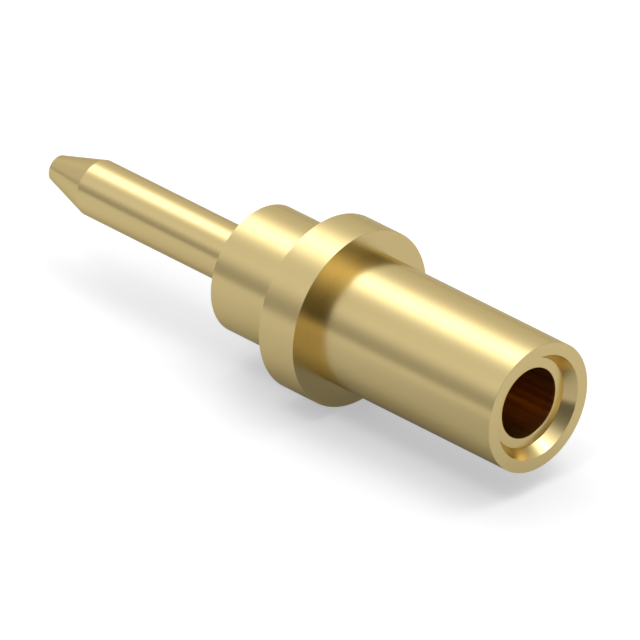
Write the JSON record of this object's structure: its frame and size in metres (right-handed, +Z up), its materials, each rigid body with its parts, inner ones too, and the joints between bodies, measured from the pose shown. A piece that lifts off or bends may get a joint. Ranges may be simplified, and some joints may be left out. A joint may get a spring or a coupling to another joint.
{
  "type": "pin receptacle",
  "caption": "Turned pin receptacle: open socket barrel with a spring contact inside, a round flange, a short shank and a long solder tail with a tapered point.",
  "frame": {"origin": "on the axis, at the flange's seating face on the tail side", "axes": "+X along the axis and out of the mouth, +Z up, with the part lying as in the picture"},
  "size_m": [0.0114, 0.0032, 0.0032],
  "materials": {
    "gold_plated_brass": "fine turned, gold plated, satin gloss",
    "gold_plated_contact": "drawn spring alloy, gold plated, satin gloss"
  },
  "bodies": {
    "root": {"turned_shell": "gold_plated_brass", "contact_clip": "gold_plated_contact"}
  },
  "joints": []
}
